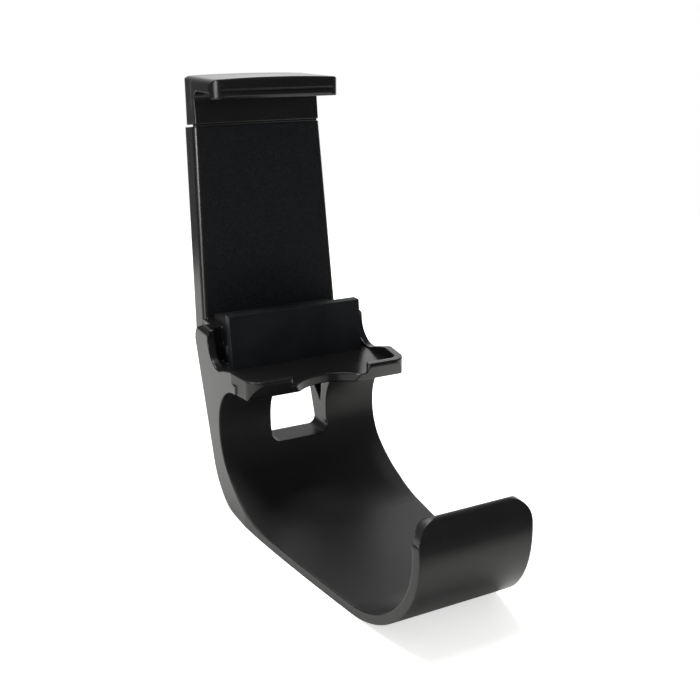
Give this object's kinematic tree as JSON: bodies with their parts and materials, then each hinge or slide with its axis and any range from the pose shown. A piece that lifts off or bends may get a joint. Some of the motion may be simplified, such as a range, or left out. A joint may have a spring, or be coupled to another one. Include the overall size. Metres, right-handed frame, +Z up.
{
  "type": "clip-on bracket",
  "caption": "Clip-on bracket that holds a phone above a gamepad: a hook wraps the pad and a sprung jaw slides up a leaning sleeve to grip the phone.",
  "frame": {"origin": "middle of the width, where the plane of the neck's inner face meets the plane of the flat bottom", "axes": "+X to the right across the width, +Y back from the hook's tip towards the neck, +Z up from the flat bottom"},
  "size_m": [0.04, 0.1024, 0.0956],
  "materials": {
    "gloss_black": "glossy moulded black ABS",
    "matt_black": "fine-textured matt black",
    "foam": "closed-cell foam",
    "steel": "bright steel"
  },
  "bodies": {
    "bracket": {"hook_arm": "gloss_black", "grip_wall": "matt_black", "ledge_cushion": "foam", "back_cover": "gloss_black", "cover_screws": "steel", "anchor_pins": "steel", "left_spring": "steel", "right_spring": "steel"},
    "jaw": {"top_jaw": "gloss_black", "jaw_tongue": "matt_black", "jaw_screws": "steel", "spring_pins": "steel", "jaw_cushion": "foam"}
  },
  "joints": [
    {"name": "jaw_slide", "type": "slide", "parent": "bracket", "child": "jaw", "axis": [0, 0.1149, 0.9934], "range_m": [0, 0.028], "stiffness_N_per_m": 160, "springref_m": -0.02, "deforming": ["left_spring", "right_spring"]}
  ]
}
